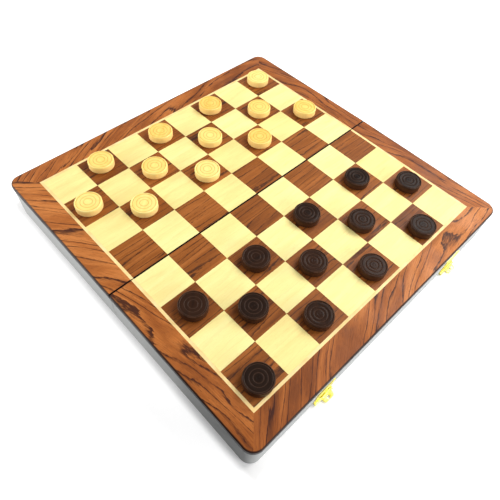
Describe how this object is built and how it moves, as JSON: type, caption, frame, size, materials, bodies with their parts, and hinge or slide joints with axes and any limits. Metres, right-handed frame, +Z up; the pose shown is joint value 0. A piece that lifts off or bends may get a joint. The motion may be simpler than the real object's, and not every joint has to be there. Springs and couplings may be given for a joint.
{
  "type": "folding games box with draughts",
  "caption": "Folding wooden games box, open with its inlaid chessboard faces up and its trays down, hinged along the fold, two front latches, turned draughts standing on the dark squares",
  "frame": {"origin": "middle of the fold on the table, at the centre of the open box's footprint", "axes": "+X across the fold towards the half with the latches (the near side in the picture), +Y along the fold towards its far end, +Z up from the table"},
  "size_m": [0.3132, 0.3052, 0.0438],
  "materials": {
    "panel_core": "dark stained edge, satin",
    "border_veneer": "lacquered rosewood veneer with dark veins",
    "dark_veneer": "lacquered walnut veneer, straight grain",
    "light_veneer": "lacquered maple veneer, fine grain",
    "case_walls": "grey satin lacquer on wood",
    "felt": "short green felt, guessed",
    "brass": "bright pressed brass plate",
    "steel_pins": "plain steel wire",
    "light_draughts": "turned and lacquered boxwood",
    "dark_draughts": "turned, dark stained and lacquered"
  },
  "bodies": {
    "keeper_half": {"keeper_half_panel": "panel_core", "keeper_half_left_border": "border_veneer", "keeper_half_right_border": "border_veneer", "keeper_half_end_border": "border_veneer", "keeper_half_stringing": "light_veneer", "keeper_half_dark_squares": "dark_veneer", "keeper_half_light_squares": "light_veneer", "keeper_half_end_wall": "case_walls", "keeper_half_fold_wall": "case_walls", "keeper_half_left_wall": "case_walls", "keeper_half_right_wall": "case_walls", "keeper_half_felt": "felt", "keeper_half_hinge_leaves": "brass", "hinge_pins": "steel_pins", "keeper_half_hinge_screws": "brass", "keepers": "brass", "keeper_screws": "brass"},
    "latch_half": {"latch_half_panel": "panel_core", "latch_half_left_border": "border_veneer", "latch_half_right_border": "border_veneer", "latch_half_end_border": "border_veneer", "latch_half_stringing": "light_veneer", "latch_half_dark_squares": "dark_veneer", "latch_half_light_squares": "light_veneer", "latch_half_end_wall": "case_walls", "latch_half_fold_wall": "case_walls", "latch_half_left_wall": "case_walls", "latch_half_right_wall": "case_walls", "latch_half_felt": "felt", "latch_half_hinge_leaves": "brass", "latch_half_hinge_screws": "brass", "latch_plates": "brass", "latch_pins": "steel_pins", "latch_screws": "brass"},
    "left_latch": {"left_latch_flap": "brass"},
    "right_latch": {"right_latch_flap": "brass"},
    "light_draught_01": {"light_draught_01": "light_draughts"},
    "light_draught_02": {"light_draught_02": "light_draughts"},
    "light_draught_03": {"light_draught_03": "light_draughts"},
    "light_draught_04": {"light_draught_04": "light_draughts"},
    "light_draught_05": {"light_draught_05": "light_draughts"},
    "light_draught_06": {"light_draught_06": "light_draughts"},
    "light_draught_07": {"light_draught_07": "light_draughts"},
    "light_draught_08": {"light_draught_08": "light_draughts"},
    "light_draught_09": {"light_draught_09": "light_draughts"},
    "light_draught_10": {"light_draught_10": "light_draughts"},
    "light_draught_11": {"light_draught_11": "light_draughts"},
    "light_draught_12": {"light_draught_12": "light_draughts"},
    "dark_draught_01": {"dark_draught_01": "dark_draughts"},
    "dark_draught_02": {"dark_draught_02": "dark_draughts"},
    "dark_draught_03": {"dark_draught_03": "dark_draughts"},
    "dark_draught_04": {"dark_draught_04": "dark_draughts"},
    "dark_draught_05": {"dark_draught_05": "dark_draughts"},
    "dark_draught_06": {"dark_draught_06": "dark_draughts"},
    "dark_draught_07": {"dark_draught_07": "dark_draughts"},
    "dark_draught_08": {"dark_draught_08": "dark_draughts"},
    "dark_draught_09": {"dark_draught_09": "dark_draughts"},
    "dark_draught_10": {"dark_draught_10": "dark_draughts"},
    "dark_draught_11": {"dark_draught_11": "dark_draughts"},
    "dark_draught_12": {"dark_draught_12": "dark_draughts"}
  },
  "joints": [
    {"name": "fold", "type": "hinge", "parent": "keeper_half", "child": "latch_half", "pos_m": [0, 0, 0.00125], "axis": [0, 1, 0], "range_deg": [-1.05, 178.94]},
    {"name": "left_latch", "type": "hinge", "parent": "latch_half", "child": "left_latch", "pos_m": [0.15356, -0.0755, 0.00159], "axis": [0, 1, 0], "range_deg": [-102, 77]},
    {"name": "right_latch", "type": "hinge", "parent": "latch_half", "child": "right_latch", "pos_m": [0.15356, 0.0935, 0.00159], "axis": [0, 1, 0], "range_deg": [-102, 77]},
    {"name": "light_draught_01_lift", "type": "slide", "parent": "keeper_half", "child": "light_draught_01", "axis": [-0.0092, 0, 1], "range_m": [0, 0.03]},
    {"name": "light_draught_02_lift", "type": "slide", "parent": "keeper_half", "child": "light_draught_02", "axis": [-0.0092, 0, 1], "range_m": [0, 0.03]},
    {"name": "light_draught_03_lift", "type": "slide", "parent": "keeper_half", "child": "light_draught_03", "axis": [-0.0092, 0, 1], "range_m": [0, 0.03]},
    {"name": "light_draught_04_lift", "type": "slide", "parent": "keeper_half", "child": "light_draught_04", "axis": [-0.0092, 0, 1], "range_m": [0, 0.03]},
    {"name": "light_draught_05_lift", "type": "slide", "parent": "keeper_half", "child": "light_draught_05", "axis": [-0.0092, 0, 1], "range_m": [0, 0.03]},
    {"name": "light_draught_06_lift", "type": "slide", "parent": "keeper_half", "child": "light_draught_06", "axis": [-0.0092, 0, 1], "range_m": [0, 0.03]},
    {"name": "light_draught_07_lift", "type": "slide", "parent": "keeper_half", "child": "light_draught_07", "axis": [-0.0092, 0, 1], "range_m": [0, 0.03]},
    {"name": "light_draught_08_lift", "type": "slide", "parent": "keeper_half", "child": "light_draught_08", "axis": [-0.0092, 0, 1], "range_m": [0, 0.03]},
    {"name": "light_draught_09_lift", "type": "slide", "parent": "keeper_half", "child": "light_draught_09", "axis": [-0.0092, 0, 1], "range_m": [0, 0.03]},
    {"name": "light_draught_10_lift", "type": "slide", "parent": "keeper_half", "child": "light_draught_10", "axis": [-0.0092, 0, 1], "range_m": [0, 0.03]},
    {"name": "light_draught_11_lift", "type": "slide", "parent": "keeper_half", "child": "light_draught_11", "axis": [-0.0092, 0, 1], "range_m": [0, 0.03]},
    {"name": "light_draught_12_lift", "type": "slide", "parent": "keeper_half", "child": "light_draught_12", "axis": [-0.0092, 0, 1], "range_m": [0, 0.03]},
    {"name": "dark_draught_01_lift", "type": "slide", "parent": "latch_half", "child": "dark_draught_01", "axis": [0.0092, 0, 1], "range_m": [0, 0.03]},
    {"name": "dark_draught_02_lift", "type": "slide", "parent": "latch_half", "child": "dark_draught_02", "axis": [0.0092, 0, 1], "range_m": [0, 0.03]},
    {"name": "dark_draught_03_lift", "type": "slide", "parent": "latch_half", "child": "dark_draught_03", "axis": [0.0092, 0, 1], "range_m": [0, 0.03]},
    {"name": "dark_draught_04_lift", "type": "slide", "parent": "latch_half", "child": "dark_draught_04", "axis": [0.0092, 0, 1], "range_m": [0, 0.03]},
    {"name": "dark_draught_05_lift", "type": "slide", "parent": "latch_half", "child": "dark_draught_05", "axis": [0.0092, 0, 1], "range_m": [0, 0.03]},
    {"name": "dark_draught_06_lift", "type": "slide", "parent": "latch_half", "child": "dark_draught_06", "axis": [0.0092, 0, 1], "range_m": [0, 0.03]},
    {"name": "dark_draught_07_lift", "type": "slide", "parent": "latch_half", "child": "dark_draught_07", "axis": [0.0092, 0, 1], "range_m": [0, 0.03]},
    {"name": "dark_draught_08_lift", "type": "slide", "parent": "latch_half", "child": "dark_draught_08", "axis": [0.0092, 0, 1], "range_m": [0, 0.03]},
    {"name": "dark_draught_09_lift", "type": "slide", "parent": "latch_half", "child": "dark_draught_09", "axis": [0.0092, 0, 1], "range_m": [0, 0.03]},
    {"name": "dark_draught_10_lift", "type": "slide", "parent": "latch_half", "child": "dark_draught_10", "axis": [0.0092, 0, 1], "range_m": [0, 0.03]},
    {"name": "dark_draught_11_lift", "type": "slide", "parent": "latch_half", "child": "dark_draught_11", "axis": [0.0092, 0, 1], "range_m": [0, 0.03]},
    {"name": "dark_draught_12_lift", "type": "slide", "parent": "latch_half", "child": "dark_draught_12", "axis": [0.0092, 0, 1], "range_m": [0, 0.03]}
  ]
}
